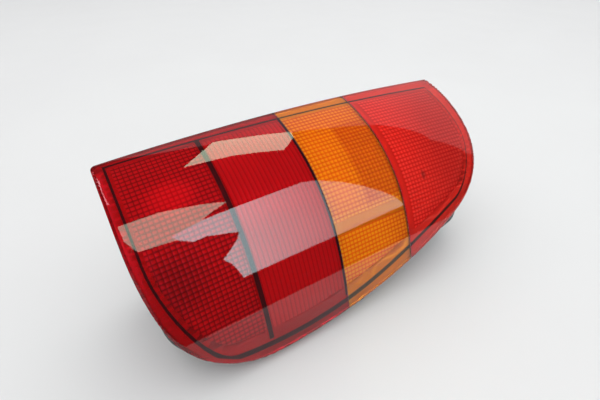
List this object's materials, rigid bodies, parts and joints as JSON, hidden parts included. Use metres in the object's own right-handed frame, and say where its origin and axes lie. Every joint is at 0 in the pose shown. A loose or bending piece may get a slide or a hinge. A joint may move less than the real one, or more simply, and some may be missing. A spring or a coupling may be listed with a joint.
{
  "type": "tail light cluster",
  "caption": "Wrap-around rear lamp cluster: dark red, amber and bright red pillow-optic lens on a black housing with bulb carrier, bulbs and mounting studs.",
  "frame": {"origin": "centre of the rectangle of four mounting studs, in the plane of the housing floor that seats on the car body", "axes": "+X along the lamp from its wide end to its nose, +Y towards the straight inner edge of the lens, +Z out of the lens, away from the car body"},
  "size_m": [0.3634, 0.1397, 0.155],
  "materials": {
    "dark_red_acrylic": "clear dark red acrylic, polished outside, small pillow optics inside",
    "amber_acrylic": "clear amber acrylic, polished outside, small pillow optics inside",
    "bright_red_acrylic": "clear red acrylic, polished outside, small pillow optics inside",
    "sealing_bead": "black bonding bead",
    "black_plastic": "black moulded plastic, fine grain",
    "grey_plastic": "light grey moulded plastic",
    "metallised_plastic": "moulded plastic with a thin satin vacuum metallised coat",
    "foam": "black closed-cell foam",
    "rubber_cap": "black rubber",
    "zinc_steel": "zinc plated steel",
    "brass_strip": "pressed brass",
    "cap_metal": "plated brass bulb cap",
    "bulb_glass": "clear glass"
  },
  "bodies": {
    "root": {"lens_dark_red": "dark_red_acrylic", "lens_amber": "amber_acrylic", "lens_bright_red": "bright_red_acrylic", "lens_seal": "sealing_bead", "housing": "black_plastic", "reflector": "metallised_plastic", "bulb_carrier": "grey_plastic", "carrier_gasket": "foam", "body_gasket": "foam", "mounting_studs": "zinc_steel", "breather_cap": "rubber_cap", "tail_bulb_glass": "bulb_glass", "tail_bulb_cap": "cap_metal", "tail_contact": "brass_strip", "fog_bulb_glass": "bulb_glass", "fog_bulb_cap": "cap_metal", "fog_contact": "brass_strip", "indicator_bulb_glass": "bulb_glass", "indicator_bulb_cap": "cap_metal", "indicator_contact": "brass_strip", "brake_bulb_glass": "bulb_glass", "brake_bulb_cap": "cap_metal", "brake_contact": "brass_strip", "earth_strip": "brass_strip"}
  },
  "joints": []
}
